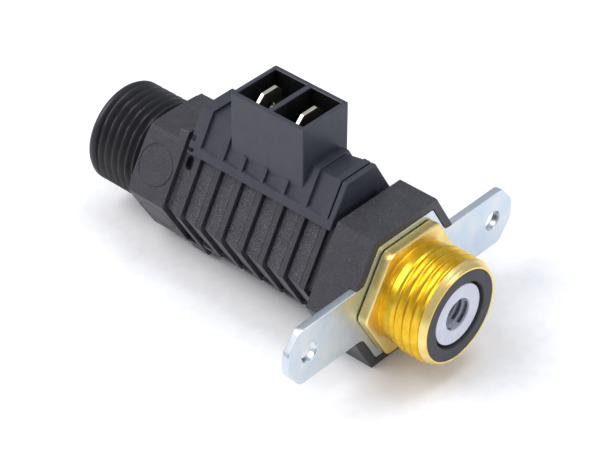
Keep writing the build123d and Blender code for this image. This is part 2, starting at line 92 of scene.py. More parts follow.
# %% [markdown]
# ## Camera, light and table
#
# A product camera stands back and uses a long lens, so that the hexagons keep parallel edges. It looks
# down at the brass end from one side. One large softbox on the outlet's side gives the black plastic its
# grey sheen, and a second one, low beyond the brass end, lights the brass. A third hangs nearly overhead,
# and a pale world fills the rest. The table is a plain, almost white sheet at the collar's lowest flat.

# %% Camera
CAMERA_AZIMUTH = 42.02
CAMERA_ELEVATION = 37.79
CAMERA_ROLL = 0.34
CAMERA_DISTANCE = 444.7
CAMERA_LENS = 144.5
CAMERA_TARGET = (-25.26, 0.0, 0.24)


def direction(azimuth, elevation):
    """Unit vector towards a viewer; azimuth 0 stands at -Y, and 90 at +X."""
    a, e = math.radians(azimuth), math.radians(elevation)
    return Vector((math.sin(a) * math.cos(e), -math.cos(a) * math.cos(e), math.sin(e)))


def aim(thing, position, target, roll=0.0):
    """Places a camera or lamp, in millimetres, with its -Z axis towards a target."""
    position, target = Vector(position) * MM, Vector(target) * MM
    turn = (target - position).to_track_quat("-Z", "Y").to_matrix().to_4x4()
    thing.matrix_world = Matrix.Translation(position) @ turn @ Matrix.Rotation(math.radians(roll), 4, "Z")


camera = bpy.data.objects.new("camera", bpy.data.cameras.new("camera"))
bpy.context.collection.objects.link(camera)
camera.data.lens = CAMERA_LENS
camera.data.clip_start = 0.01
stand = Vector(CAMERA_TARGET) + direction(CAMERA_AZIMUTH, CAMERA_ELEVATION) * CAMERA_DISTANCE
aim(camera, stand, CAMERA_TARGET, CAMERA_ROLL)
bpy.context.scene.camera = camera
bpy.context.scene.view_settings.view_transform = "Standard"
print("camera at", np.round(np.array(camera.location) / MM, 1), "mm")


# %% Colours
def colour(code):
    """Linear red, green, blue and alpha of an sRGB hex colour."""
    value = np.array([int(code[i:i + 2], 16) for i in (1, 3, 5)]) / 255
    linear = np.where(value <= 0.04045, value / 12.92, ((value + 0.055) / 1.055) ** 2.4)
    return (*linear.tolist(), 1.0)


print("mid grey is", np.round(colour("#808080"), 3))


# %% Softboxes, world and table
def softbox(name, azimuth, elevation, distance, size, power, tint):
    """A square area lamp that faces the valve."""
    lamp = bpy.data.lights.new(name, "AREA")
    lamp.size, lamp.energy, lamp.color = size * MM, power, colour(tint)[:3]
    holder = bpy.data.objects.new(name, lamp)
    bpy.context.collection.objects.link(holder)
    aim(holder, Vector(CAMERA_TARGET) + direction(azimuth, elevation) * distance, CAMERA_TARGET)
    return holder


softbox("key_softbox", -38, 52, 700, 500, 3.9, "#fbf8f6")
softbox("fill_softbox", 100, 20, 800, 360, 1.5, "#f4f6ff")
softbox("top_softbox", 150, 76, 800, 420, 1.9, "#fafbff")

world = bpy.data.worlds.new("studio")
world.use_nodes = True
world.node_tree.nodes["Background"].inputs["Color"].default_value = colour("#e8ebf4")
world.node_tree.nodes["Background"].inputs["Strength"].default_value = 0.58
bpy.context.scene.world = world

TABLE_REACH = 3000
table_mesh = bpy.data.meshes.new("table")
table_corners = np.array([(-1, -1), (1, -1), (1, 1), (-1, 1)]) * TABLE_REACH
table_points = np.column_stack([table_corners, np.full(4, valve_low[2])]) * MM
table_mesh.from_pydata(table_points.tolist(), [], [(0, 1, 2, 3)])
table = bpy.data.objects.new("table", table_mesh)
bpy.context.collection.objects.link(table)
print("lamps, world and a table at z =", round(valve_low[2], 2), "mm")

# %% [markdown]
# ## Materials
#
# Every finish is a small node tree on object coordinates, so a pattern has the same real size on each
# piece. One function adds a node with its settings and its links. Pattern scales are worked out from
# grain sizes in millimetres.


# %% One function that adds a node
def add(material, kind, settings, links=None):
    """Adds a shader node. Settings name sockets or properties; links give a socket another's output."""
    node = material.node_tree.nodes.new("ShaderNode" + kind)
    for key, value in settings.items():
        if key == "stops":
            for place, shade in value[len(node.color_ramp.elements):]:
                node.color_ramp.elements.new(place)
            for stop, (place, shade) in zip(node.color_ramp.elements, value):
                stop.position, stop.color = place, colour(shade)
        elif key in node.inputs:
            node.inputs[key].default_value = value
        else:
            setattr(node, key, value)
    for socket, source in (links or {}).items():
        material.node_tree.links.new(source, node.inputs[socket])
    return node


def blank(name):
    """A material with only its output, and the place of a point in object coordinates."""
    material = bpy.data.materials.new(name)
    material.use_nodes = True
    material.node_tree.nodes.clear()
    return material, add(material, "TexCoord", {}).outputs["Object"]


def seal_tree(material, shader):
    """Wires the finished shader to the material's output."""
    add(material, "OutputMaterial", {}, {"Surface": shader.outputs["BSDF"]})
    return material


def per_mm(size):
    """Texture scale that gives one pattern cell every so many millimetres."""
    return 1 / (size * MM)


print("a 0.5 mm grain needs scale", per_mm(0.5))

# %% [markdown]
# ### Black plastics
#
# The housings are injection-moulded nylon with short glass fibres. The fibres leave the skin slightly
# cloudy, so the colour drifts a little between charcoal and dark grey, and the gloss is soft. The coil
# shell's sunk panels were spark-eroded in the mould, and that leaves a coarse grain with pale specks.
# The clip-on cover is a smoother, bluer PBT. Two darker versions are painted shade for places that get
# little light: the outlet's thread, and the walls of the chambers and slots, which a polished core also
# leaves glossier than the outside. All of them share one recipe with different numbers.


# %% Moulded plastic
def moulded_plastic(name, dark, light, speck, speck_share, roughness, grain, depth):
    """Opaque plastic: drifting colour, pale specks, and a fine grain in the bump."""
    material, place = blank(name)
    drift = add(material, "TexNoise", {"Scale": per_mm(2.2), "Detail": 5.0}, {"Vector": place})
    fine = add(material, "TexNoise", {"Scale": per_mm(grain), "Detail": 3.0}, {"Vector": place})
    cloud = add(material, "ValToRGB", {"stops": [(0.3, dark), (0.7, light)]}, {"Fac": drift.outputs["Fac"]})
    mask = add(material, "MapRange", {"From Min": 1 - speck_share, "From Max": 1.05 - speck_share},
               {"Value": fine.outputs["Fac"]})
    skin = add(material, "MixRGB", {"Color2": colour(speck)},
               {"Fac": mask.outputs["Result"], "Color1": cloud.outputs["Color"]})
    gloss = add(material, "MapRange", {"To Min": roughness - 0.06, "To Max": roughness + 0.1},
                {"Value": fine.outputs["Fac"]})
    bump = add(material, "Bump", {"Strength": 0.5, "Distance": depth * MM}, {"Height": fine.outputs["Fac"]})
    shader = add(material, "BsdfPrincipled", {"IOR": 1.53},
                 {"Base Color": skin.outputs["Color"], "Roughness": gloss.outputs["Result"],
                  "Normal": bump.outputs["Normal"]})
    return seal_tree(material, shader)


black_nylon = moulded_plastic("black_glass_filled_nylon", "#28272d", "#323138", "#45444c", 0.42,
                              0.46, 0.24, 0.03)
eroded_nylon = moulded_plastic("spark_eroded_nylon", "#27262c", "#35343b", "#626169", 0.42,
                               0.55, 0.2, 0.08)
# A darker copy of the nylon for the outlet thread: painted shade.
painted_shade_nylon = moulded_plastic("nylon_thread_painted_shade", "#17171b", "#1e1e23", "#27272c", 0.3, 0.4, 0.3, 0.02)
cover_pbt = moulded_plastic("charcoal_pbt", "#2b2d37", "#32343f", "#3e414d", 0.36, 0.45, 0.26, 0.03)
# A near-black copy of the cover's PBT for chamber and slot walls: painted shade.
painted_shade_pbt = moulded_plastic("pbt_chamber_painted_shade", "#0c0c0f", "#121216", "#1a1a1f", 0.3, 0.35, 0.3, 0.01)
plastics = (black_nylon, eroded_nylon, painted_shade_nylon, cover_pbt, painted_shade_pbt)
print("plastics:", ", ".join(plastic.name for plastic in plastics))

# %% [markdown]
# ### Metals
#
# The inlet is turned brass: the lathe leaves fine rings around the axis, while the hexagon keeps the
# drawn bar's streaks along it. The bracket is stamped steel under bright zinc, which is cold in tone,
# with a faint blue and straw bloom from its passivation. The tabs are tinned, the tube is stainless.
# A metal keeps Blender's default index of refraction, because its colour does that work.


# %% Metal
def worked_metal(name, dark, light, patch, roughness, stretch, grain, depth):
    """Metal with a patchy tint and a grain that is stretched along chosen directions."""
    material, place = blank(name)
    along = add(material, "Mapping", {"Scale": stretch}, {"Vector": place})
    tint = add(material, "TexNoise", {"Scale": per_mm(patch), "Detail": 4.0}, {"Vector": place})
    grit = add(material, "TexNoise", {"Scale": per_mm(grain), "Detail": 3.0},
               {"Vector": along.outputs["Vector"]})
    base = add(material, "ValToRGB", {"stops": [(0.32, dark), (0.68, light)]}, {"Fac": tint.outputs["Fac"]})
    gloss = add(material, "MapRange", {"To Min": roughness - 0.07, "To Max": roughness + 0.09},
                {"Value": grit.outputs["Fac"]})
    bump = add(material, "Bump", {"Strength": 0.35, "Distance": depth * MM},
               {"Height": grit.outputs["Fac"]})
    shader = add(material, "BsdfPrincipled", {"Metallic": 1.0},
                 {"Base Color": base.outputs["Color"], "Roughness": gloss.outputs["Result"],
                  "Normal": bump.outputs["Normal"]})
    return seal_tree(material, shader)


turned_brass = worked_metal("turned_brass", "#e0b022", "#f0c840", 2.0, 0.3, (4, 0.2, 0.2), 0.3, 0.0008)
# The paler brass is the flange's drawn finish; at the thread's end chamfer it is a painted highlight.
drawn_brass_and_painted_highlight = worked_metal("drawn_brass_and_painted_highlight", "#ecd07a", "#f8e39c", 3.0, 0.36, (0.2, 1.5, 1.5), 0.6, 0.003)
zinc_plate = worked_metal("zinc_plated_steel", "#c8d6e2", "#d9dfe2", 4.0, 0.36, (1, 0.3, 1.6), 0.5, 0.01)
tin_plate = worked_metal("tinned_brass", "#d9d4bd", "#ece8d8", 2.0, 0.3, (1, 1, 1), 0.4, 0.002)
stainless = worked_metal("stainless_steel", "#a9abad", "#c3c4c6", 4.0, 0.25, (5, 0.3, 0.3), 0.4, 0.01)
copper = worked_metal("enamelled_copper", "#b4622f", "#cf7c42", 1.0, 0.3, (4, 0.2, 0.2), 0.4, 0.05)
print("metals:", turned_brass.name, drawn_brass_and_painted_highlight.name, zinc_plate.name, tin_plate.name)

# %% [markdown]
# ### Soft and pale plastics
#
# Seals are EPDM rubber, matt and nearly black. The strainer is white acetal with a cool tint. The
# bobbin is natural PBT and the winding is wrapped in yellow polyester tape. The table is painted board.

# %% Rubber, acetal, bobbin, tape and table
epdm_rubber = moulded_plastic("epdm_rubber", "#37373b", "#404045", "#4d4d52", 0.3, 0.66, 0.25, 0.03)
white_acetal = moulded_plastic("white_acetal", "#c6c8d3", "#d0d2dc", "#dcdde6", 0.3, 0.4, 0.5, 0.01)
bobbin_pbt = moulded_plastic("natural_pbt", "#cfc8b4", "#ddd6c4", "#e6e0d0", 0.3, 0.45, 0.4, 0.02)
coil_tape = moulded_plastic("polyester_tape", "#d8a81e", "#e4b83a", "#efc85a", 0.3, 0.3, 0.8, 0.02)
table_paint = moulded_plastic("table_board", "#f4f5f7", "#fafbfc", "#ffffff", 0.2, 0.8, 3.0, 0.01)
table_mesh.materials.append(table_paint)
print("soft materials:", epdm_rubber.name, white_acetal.name, bobbin_pbt.name, coil_tape.name)

# %% [markdown]
# ## Surfaces from sections
#
# Nearly every piece of this valve is a section carried along the axis: a circle, a hexagon, or an
# outline in between. So a shape is a grid of points, one row for each section, and quads join each row
# to the next. Where the last row meets the first, the solid closes on itself like a ring. Where it
# doesn't, one face closes each end. Cuts and unions use Blender's exact Boolean, and its result is put
# straight into the mesh.


# %% From a grid of points to a solid
def grid_quads(rows, columns, ring):
    """Quads between neighbouring rows. Columns wrap round, and rows do so only in a ring."""
    row = np.arange(rows if ring else rows - 1)[:, None]
    column = np.arange(columns)[None, :]
    near, far = row * columns, (row + 1) % rows * columns
    beside = (column + 1) % columns
    return np.stack([near + column, near + beside, far + beside, far + column], -1).reshape(-1, 4)


def solid(name, sections, finishes, ring=False, finish_of_row=None):
    """A closed piece from sections of shape (rows, columns, 3), in millimetres."""
    rows, columns, _ = sections.shape
    faces = grid_quads(rows, columns, ring).tolist()
    chosen = np.zeros(len(faces), int)
    if finish_of_row is not None:
        chosen = np.repeat(finish_of_row[:len(faces) // columns], columns)
    if not ring:
        faces += [list(range(columns)), list(range((rows - 1) * columns, rows * columns))]
        chosen = np.append(chosen, [0, 0])
    mesh = bpy.data.meshes.new(name)
    mesh.from_pydata((sections.reshape(-1, 3) * MM).tolist(), [], faces)
    mesh.polygons.foreach_set("material_index", chosen)
    for finish in finishes:
        mesh.materials.append(finish)
    piece = bpy.data.objects.new(name, mesh)
    bpy.context.collection.objects.link(piece)
    weld(piece)
    return piece


def weld(piece, distance=0.003):
    """Merges points that lie together, and turns all faces outwards."""
    work = bmesh.new()
    work.from_mesh(piece.data)
    bmesh.ops.remove_doubles(work, verts=work.verts, dist=distance * MM)
    bmesh.ops.recalc_face_normals(work, faces=work.faces)
    work.to_mesh(piece.data)
    work.free()


def combine(piece, other, operation):
    """Joins another solid to the piece, or cuts it out, and removes that other solid."""
    tool = piece.modifiers.new(operation, "BOOLEAN")
    tool.object, tool.operation, tool.solver = other, operation, "EXACT"
    tool.material_mode = "TRANSFER"
    bpy.context.view_layer.update()
    finished = piece.evaluated_get(bpy.context.evaluated_depsgraph_get())
    made = bpy.data.meshes.new_from_object(finished)
    piece.modifiers.clear()
    piece.data = made
    bpy.data.objects.remove(other)
    return piece


def present(piece, body, slot_name, *nodes, crease=32):
    """Ends a piece: smooth shading up to a crease angle, its body and its CAD nodes. slot_name is not used.
    """
    piece.data.shade_smooth()
    piece.data.set_sharp_from_angle(angle=math.radians(crease))
    even = piece.modifiers.new("even_flats", "WEIGHTED_NORMAL")
    even.keep_sharp = True
    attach(piece, body)
    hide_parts(*nodes)
    print(piece.name, "has", len(piece.data.polygons), "faces and stands for", ", ".join(nodes))


print("section helpers ready")


# %% Outlines and profiles
def round_corners(points, reach, steps=3, closed=True):
    """Rounds a polyline: each corner becomes a short parabola that leaves its sides `reach` away."""
    corner = np.asarray(points, float)
    reach = np.broadcast_to(reach, len(corner))[:, None]
    ends = []
    for neighbour in (np.roll(corner, 1, 0), np.roll(corner, -1, 0)):
        side = neighbour - corner
        length = np.maximum(np.linalg.norm(side, axis=1, keepdims=True), 1e-9)
        ends.append(corner + side / length * np.minimum(reach, 0.45 * length))
    t = np.linspace(0, 1, steps + 1)[None, :, None]
    curve = (1 - t) ** 2 * ends[0][:, None] + 2 * t * (1 - t) * corner[:, None] + t ** 2 * ends[1][:, None]
    if closed:
        return curve.reshape(-1, corner.shape[1])
    middle = curve[1:-1].reshape(-1, corner.shape[1])
    return np.vstack([corner[:1], middle, corner[-1:]])


def polar(x, radius, angle):
    """Points at station x and at a distance from the axis, at each angle from +Y towards +Z."""
    x, radius, angle = np.broadcast_arrays(x, radius, angle)
    return np.stack([x, radius * np.cos(angle), radius * np.sin(angle)], -1)


def turned(profile, angle):
    """Rows of a lathe surface: each profile point (x, radius) goes once round the axis."""
    x, radius = np.asarray(profile, float).T[:, :, None]
    return polar(x, radius, angle)


def hexagon_radius(across, angle, corner_radius=1e9):
    """Distance from the axis to a hexagon with flats above and below, trimmed to a corner circle."""
    off_flat = np.mod(angle, np.pi / 3) - np.pi / 6
    return np.minimum(across / 2 / np.cos(off_flat), corner_radius)


def full_turn(count):
    """Evenly spaced angles once round; a multiple of six meets every corner of a hexagon."""
    return np.arange(count) * 2 * np.pi / count


def slope_y(distance, z):
    """Y of a sloping face at a distance from the axis; its corner at z = 0 is slightly rounded."""
    corner_softness = 0.12
    lift = np.sqrt(z ** 2 + corner_softness ** 2)
    return (distance - lift / 2) / math.cos(math.pi / 6)


print("outline helpers ready")


# %% Cutters
def block(low, high, flare=0.0, finishes=()):
    """A box between two corners; with a flare, its top edge opens out like a softened mouth."""
    corners = np.array([(low[0], low[1]), (high[0], low[1]), (high[0], high[1]), (low[0], high[1])])
    outward = np.array([(-1, -1), (1, -1), (1, 1), (-1, 1)])
    levels = [(low[2], 0), (high[2] - flare, 0), (high[2], flare), (high[2] + 1, flare)]
    levels = levels if flare else [(low[2], 0), (high[2], 0)]
    rows = [np.column_stack([corners + outward * grow, np.full(4, z)]) for z, grow in levels]
    return solid("cutter", np.array(rows), finishes)


def groove_ring(centre, normal, radius, thickness):
    """A torus that cuts a round groove: its circle lies in the plane across the normal."""
    normal = np.array(normal, float)
    side = np.cross(normal, (1, 0, 0)) if abs(normal[0]) < 0.9 else np.array((0, 1, 0))
    side = side / np.linalg.norm(side)
    other = np.cross(normal, side)
    around, across = full_turn(72)[:, None, None], full_turn(12)[None, :, None]
    out = side * np.cos(around) + other * np.sin(around)
    circle = out * (radius + thickness * np.cos(across)) + normal * thickness * np.sin(across)
    return solid("cutter", np.array(centre) + circle, [], ring=True)


print("cutters ready")

# %% [markdown]
# ## Screw threads
#
# Both ports carry a G 1/2 pipe thread: 20.955 mm across, 1.814 mm from crest to crest, right-handed.
# A thread is a cylinder whose radius dips once for every pitch, and the dip moves along the axis as the
# angle turns. That is a radius as a function of station and angle, so no modifier and no sweep is
# needed. The brass one is cut, with narrow crests. The plastic one is moulded, with broad round crests.

# %% Thread surface
THREAD_PITCH = 1.814
THREAD_DEPTH = 1.162
THREAD_RADIUS = 20.955 / 2


def thread_radius(x, angle, start, depth, softness):
    """Radius R - depth * (1 - (1 - 2d)^2), where d is the way to the nearest crest in turns.

    A crest passes through x = start at angle 0, and sqrt(d^2 + softness^2) - softness rounds its top.
    """
    phase = (x - start) / THREAD_PITCH - angle / (2 * np.pi)
    away = np.hypot(phase - np.round(phase), softness) - softness
    return THREAD_RADIUS - depth * (1 - (1 - 2 * away) ** 2)


print("thread", 2 * THREAD_RADIUS, "mm with pitch", THREAD_PITCH, "mm")

# %% [markdown]
# ## Outlet body
#
# One moulding makes the outlet thread, the spanner hexagon, the valve seat and the spigot that the coil
# shell clips on. Going once round its section, from the bore over the thread and the hexagon, along the
# spigot and back through the seat, gives one closed surface. A low stop on top of the hexagon keeps the
# clipped-on cover in place. The hexagon carries a plain round moulded ring on two of its faces. The mark
# inside the ring on the real part is left out.

# %% Outlet body surface
outlet_low, outlet_high = span("outlet_body")
shell_low, shell_high = span("coil_shell")
HEX_ACROSS = 23.4
OUTLET_START = outlet_low[0]
HEX_END = shell_low[0]
HEX_START = HEX_END - 9.4
SPIGOT_END = outlet_high[0]
OUTLET_CHAMFER = 0.5
OUTLET_CHAMFER_SLOPE = 0.6
OUTLET_LAND = 0.9
OUTLET_CREST_SOFTNESS = 0.15
OUTLET_THREAD_STEP = 0.14
OUTLET_BORE_RADIUS = 6.75
OUTLET_BORE_DEPTH = 15
NUT_SLOPE = 5.0
NUT_CORNER_RADIUS = 13.42


def outlet_thread(angle):
    """Rows of a chamfer, a plain land, and the thread, which deepens over its first half turn."""
    chamfer_x = np.linspace(0, OUTLET_CHAMFER, 5)[:, None]
    chamfer = THREAD_RADIUS - OUTLET_CHAMFER_SLOPE * (OUTLET_CHAMFER - chamfer_x) + 0 * angle
    x = np.arange(OUTLET_START + OUTLET_CHAMFER, HEX_START, OUTLET_THREAD_STEP)[:, None]
    full = thread_radius(x, angle, OUTLET_START, THREAD_DEPTH, OUTLET_CREST_SOFTNESS)
    fade = np.clip((x - OUTLET_START - OUTLET_LAND) / THREAD_PITCH * 2, 0, 1)
    thread = THREAD_RADIUS + (full - THREAD_RADIUS) * fade
    return np.concatenate([polar(OUTLET_START + chamfer_x, chamfer, angle), polar(x, thread, angle)])


def outlet_hexagon(angle):
    """Rows of the hexagon, whose corners are cut by a cone that starts at the thread's side."""
    half = HEX_ACROSS / 2
    rows = round_corners([(HEX_START, THREAD_RADIUS), (HEX_START, half - 0.15), (HEX_START + 0.1, half),
                          (HEX_START + 1.3, half), (HEX_END, half), (HEX_END, half - 0.6)],
                         0.09, closed=False)[1:]
    cone_x = np.linspace(HEX_START + 0.25, HEX_START + 1.15, 8)
    rows = np.insert(rows, 8, np.column_stack([cone_x, np.full(8, half)]), axis=0)
    cone = np.clip(half + (rows[:, :1] - HEX_START) * NUT_SLOPE, THREAD_RADIUS, NUT_CORNER_RADIUS)
    return polar(rows[:, :1], hexagon_radius(2 * rows[:, 1:], angle, cone), angle)


def outlet_inside(angle):
    """Rows of the spigot with its seal pocket, the tube socket, the seat nozzle and the bore."""
    spigot, pocket, socket, lip, nozzle, bore = 8.45, 7.0, 5.5, 3.3, 2.25, OUTLET_BORE_RADIUS
    pocket_x, seat_x, socket_x = SPIGOT_END - 2, SPIGOT_END - 1.4, SPIGOT_END - 5.8
    bore_x = OUTLET_START + OUTLET_BORE_DEPTH
    profile = [(HEX_END, spigot + 1), (HEX_END, spigot), (SPIGOT_END, spigot), (SPIGOT_END, pocket),
               (pocket_x, pocket), (pocket_x, socket), (socket_x, socket), (socket_x, lip), (seat_x, lip),
               (seat_x, nozzle), (bore_x, nozzle), (bore_x, bore), (OUTLET_START, bore),
               (OUTLET_START, bore + 1)]
    return turned(round_corners(profile, 0.2, closed=False), angle)


outlet_angle = full_turn(144)[None, :]
sections = np.concatenate([outlet_thread(outlet_angle), outlet_hexagon(outlet_angle),
                           outlet_inside(outlet_angle)])
# The thread rows take the darker nylon: painted shade, since little light reaches the thread.
thread_rows = (sections[:, :, 0].mean(axis=1) < HEX_START - 0.01).astype(int)
outlet = solid("outlet_moulding", sections, [black_nylon, painted_shade_nylon], ring=True,
               finish_of_row=thread_rows)
print("outlet body rows:", len(sections))

# %% Stop for the cover, on top of the hexagon
STOP_LENGTH = 2.15
STOP_RISE = 1.6
STOP_GAP = 0.05
SOFT_EDGE = 0.12


def between_slopes(start, end, heights):
    """A block whose sides continue the sloping faces of the hexagon, with a softened outer edge."""
    heights = np.array(heights)
    half = slope_y(HEX_ACROSS / 2, heights) - SOFT_EDGE * (np.abs(heights) == np.abs(heights).max())
    rows = [[(start, -y, z), (end, -y, z), (end, y, z), (start, y, z)] for y, z in zip(half, heights)]
    return solid("block", np.array(rows), [black_nylon])


stop_top = HEX_ACROSS / 2 + STOP_RISE
stop = between_slopes(HEX_END - STOP_LENGTH, HEX_END - STOP_GAP,
                      (HEX_ACROSS / 2 - 1, stop_top - SOFT_EDGE, stop_top))
combine(outlet, stop, "UNION")
print("stop rises", STOP_RISE, "mm over the hexagon")

# %% Round rings on the outlet hexagon
RING_RADIUS = 4.05
RING_GROOVE = 0.17
for side in (150, 210):
    facing = np.array([0, math.cos(math.radians(side)), math.sin(math.radians(side))])
    middle = facing * HEX_ACROSS / 2 + np.array([(HEX_START + HEX_END) / 2, 0, 0])
    combine(outlet, groove_ring(middle, facing, RING_RADIUS, RING_GROOVE), "DIFFERENCE")
present(outlet, "body", "black_pa", "outlet_body")

# %% [markdown]
# ## Coil shell
#
# The lower shell wraps the coil. Seven bays run down each side: a spark-eroded panel that climbs
# towards the inlet, a hairline groove, a smooth fin, and a sharp drop to the next panel. This is one
# saw-toothed line of depth against station, carried round a hexagonal trough. The fins stand on a rail
# along each side, under which the trough is plain, except at the outlet end, where one fin goes all the
# way down and a low foot fills the first bay. The hollow for the coil is cut out afterwards, so the
# shell is a real shell.

# %% Saw-toothed depth line
FIN_PITCH = 5.17
FIN_COUNT = 7
FIN_THICKNESS = 1.3
FIN_GAP = 3.25
PANEL_DEPTH = 1.0
PANEL_LIP = 0.15
PANEL_STEP = 0.15
HAIRLINE_START = 0.14
HAIRLINE_DEPTH = 0.3
NOTCH_LENGTH = 0.8
FIN_CUT_Z = -8.3
RAIL_TOP = -8.45
RAIL_LOW = -9.6
RAIL_NOTCH = 0.55
FULL_BOTTOM = -HEX_ACROSS / 2
TROUGH_BOTTOM = FULL_BOTTOM + PANEL_DEPTH
fin_edges = shell_high[0] - FIN_GAP - FIN_PITCH * np.arange(FIN_COUNT)[::-1]


def shell_bay(foot, edge, first):
    """Corners of one bay, from the foot of its panel to the far edge of its fin."""
    plain = (PANEL_DEPTH, TROUGH_BOTTOM)
    under = (0.0, FULL_BOTTOM) if first else plain
    rail, notch = (PANEL_DEPTH, PANEL_DEPTH) if first else (0.0, RAIL_NOTCH)
    fin = edge - FIN_THICKNESS
    panel = PANEL_DEPTH - PANEL_LIP
    slope = (panel - PANEL_STEP) / (fin - foot - 0.3 - HAIRLINE_START)
    notch_end = foot + NOTCH_LENGTH
    return [(foot, PANEL_DEPTH, notch, *plain, 0),
            (foot + 0.3, panel, notch, *plain, 1),
            (notch_end, panel - 0.5 * slope, notch, *plain, 1),
            (notch_end + 0.15, panel - 0.65 * slope, rail, *plain, 1),
            (fin - HAIRLINE_START, PANEL_STEP, rail, *plain, 0),
            (fin - HAIRLINE_START / 2, PANEL_STEP + HAIRLINE_DEPTH, rail, *plain, 0),
            (fin, 0, 0, *under, 0),
            (edge, 0, 0, *under, 0),
            (edge, PANEL_DEPTH, notch, *plain, 0)]


def shell_line():
    """Corners (station, panel depth, rail depth, depth under the rail, height of the bottom, finish)."""
    plain = (PANEL_DEPTH, PANEL_DEPTH, PANEL_DEPTH, TROUGH_BOTTOM, 0)
    line = [(shell_low[0], *plain)]
    feet = [shell_low[0] + 0.9, *fin_edges[:-1]]
    for foot, edge in zip(feet, fin_edges):
        line += shell_bay(foot, edge, edge == fin_edges[0])
    return np.array(line + [(shell_high[0], *plain)])


def smooth_shell_line():
    """The same line with softened corners; the finish of a row is that of the stretch it starts."""
    line = shell_line()
    smooth = round_corners(line[:, :5], 0.13, closed=False)
    start_of = np.searchsorted(line[:, 0] + 1e-6 * np.arange(len(line)), smooth[:, 0], side="right") - 1
    return smooth, line[np.clip(start_of, 0, len(line) - 1), 5].astype(int)


smooth_line, row_finish = smooth_shell_line()
print("shell rows:", len(smooth_line), "of them eroded:", int(row_finish.sum()))


# %% Trough around the axis
def shell_sections(line):
    """Rows of the trough: slopes at fixed heights, a flat bottom and a flat top at each station."""
    x, upper, rail, under, bottom = line.T[:, :, None]
    half = HEX_ACROSS / 2
    high_z = np.array([shell_high[2], 11, 9, 7, 5, 3.5, 2, 1.2, 0.6, 0.3, 0,
                       -0.3, -0.6, -1.2, -2, -3.5, -5, -6.5, FIN_CUT_Z])[None, :]
    rail_z = np.array([RAIL_TOP, RAIL_LOW])[None, :]
    under_rail = RAIL_LOW - SOFT_EDGE
    low_z = under_rail + (bottom - under_rail) * np.linspace(0, 1, 3)[None, :]
    side_y = np.hstack([slope_y(half - upper, high_z), slope_y(half - rail, rail_z),
                        slope_y(half - under, low_z)])
    side_z = np.hstack([high_z + 0 * x, rail_z + 0 * x, low_z])
    across = np.linspace(1, -1, 7)[None, 1:-1]
    bottom_y, bottom_z = side_y[:, -1:] * across, bottom + 0 * across
    top_y, top_z = -side_y[:, :1] * across, shell_high[2] + 0 * across + 0 * x
    y = np.hstack([side_y, bottom_y, -side_y[:, ::-1], top_y])
    z = np.hstack([side_z, bottom_z, side_z[:, ::-1], top_z])
    return np.stack([x + 0 * y, y, z], -1)


shell = solid("coil_shell_ribbed", shell_sections(smooth_line), [black_nylon, eroded_nylon],
              finish_of_row=row_finish)
FOOT_LOW = -13.1
foot = between_slopes(shell_low[0] + 0.6, fin_edges[0] - 0.2,
                      (FOOT_LOW, FOOT_LOW + SOFT_EDGE, TROUGH_BOTTOM + 0.5))
combine(shell, foot, "UNION")
print("shell faces before the hollow is cut:", len(shell.data.polygons))

# %% Hollow, bores and vent
ROOM_RADIUS = 9.0
LEAD_GAP_HALF = 4.7
SPIGOT_BORE = 8.5
TUBE_BORE = 5.55
room_start, room_end = shell_low[0] + 1.5, shell_high[0] - 0.85
for radius, start, end in ((ROOM_RADIUS, room_start, room_end),
                           (SPIGOT_BORE, shell_low[0] - 1, room_start + 0.5),
                           (TUBE_BORE, room_end - 0.5, shell_high[0] + 1)):
    rod = solid("cutter", turned([(start, radius), (end, radius)], full_turn(96)), [])
    combine(shell, rod, "DIFFERENCE")
lead_gap = block((room_start, -LEAD_GAP_HALF, 0), (room_end, LEAD_GAP_HALF, shell_high[2] + 1))
combine(shell, lead_gap, "DIFFERENCE")


def oblong_cutter(centre, normal, width, length, depth):
    """A slot with round ends, long up the slope, cut square to a sloping face."""
    turn = full_turn(32)
    along = np.cos(turn) * width / 2
    up = np.sin(turn) * width / 2 + np.sign(np.sin(turn)) * (length - width) / 2
    normal = np.array(normal)
    climb = np.cross(normal, (1, 0, 0))
    flat = np.array(centre) + along[:, None] * np.array((1, 0, 0)) + up[:, None] * climb
    return solid("cutter", np.array([flat - normal * depth, flat + normal * depth]), [])


VENT_Z = 8.9
VENT_WIDTH = 2.3
VENT_LENGTH = 2.9
VENT_DEPTH = 2.3
vent_middle = (shell_low[0] + 2.05, -float(slope_y(HEX_ACROSS / 2, VENT_Z)), VENT_Z)
upper_left = (0, -math.cos(math.pi / 6), 0.5)
vent = oblong_cutter(vent_middle, upper_left, VENT_WIDTH, VENT_LENGTH, VENT_DEPTH)
combine(shell, vent, "DIFFERENCE")
present(shell, "body", "black_pa", "coil_shell")

# %% [markdown]
# ## Connector cover
#
# The cover clips over the coil and carries the terminal box. Its roof is a second line of depth against
# station: full ribs at the ends and beside the box, short ribs between them that stop half way up, and
# a band along the lower edge. Height decides which line a point follows. The box is a rounded rectangle
# carried upwards, joined to the roof, and then its two chambers and the room under the roof are cut.
# Two slots in each side of the outlet end leave snap tongues between them.

